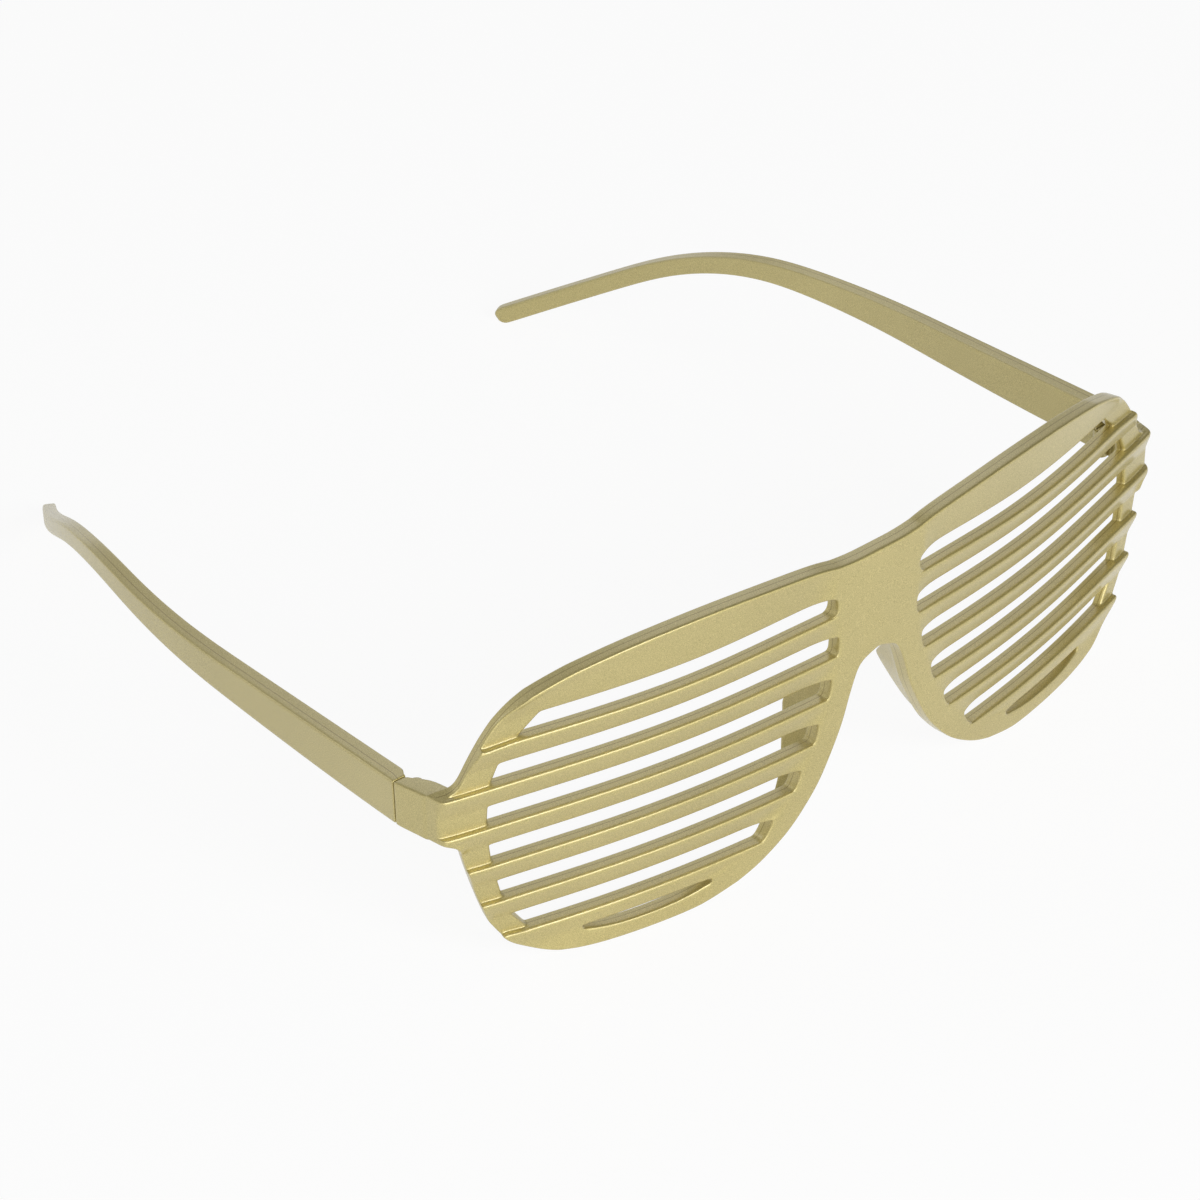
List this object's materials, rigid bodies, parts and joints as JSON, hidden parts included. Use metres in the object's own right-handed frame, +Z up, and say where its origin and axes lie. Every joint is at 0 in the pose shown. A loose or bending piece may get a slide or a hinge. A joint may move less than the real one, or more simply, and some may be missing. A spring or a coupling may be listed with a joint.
{
  "type": "party glasses",
  "caption": "Party glasses with slatted shutter fronts in place of lenses, nose pads and two folding temples.",
  "frame": {"origin": "on the surface the glasses stand on, under the middle of their box", "axes": "+X to the side of the picture's right, +Y from the front back to the temple tips, +Z up"},
  "size_m": [0.153, 0.154, 0.0532],
  "materials": {
    "gold_plastic": "moulded plastic sprayed with pale gold metallic paint",
    "hinge_metal": "pressed metal under the same gold paint",
    "screw_steel": "small bright slotted screw"
  },
  "bodies": {
    "front": {"front_frame": "gold_plastic", "hinge_front_leaf_left": "hinge_metal", "hinge_front_leaf_right": "hinge_metal", "hinge_screw_left": "screw_steel", "hinge_screw_right": "screw_steel"},
    "temple_left": {"temple_left": "gold_plastic", "hinge_temple_leaf_left": "hinge_metal"},
    "temple_right": {"temple_right": "gold_plastic", "hinge_temple_leaf_right": "hinge_metal"}
  },
  "joints": [
    {"name": "fold_left", "type": "hinge", "parent": "front", "child": "temple_left", "pos_m": [-0.0723, -0.05536, 0.02936], "axis": [0, 0.0364, 0.9993], "range_deg": [-80, 0]},
    {"name": "fold_right", "type": "hinge", "parent": "front", "child": "temple_right", "pos_m": [0.0723, -0.05536, 0.02936], "axis": [0, 0.0364, 0.9993], "range_deg": [0, 74]}
  ]
}
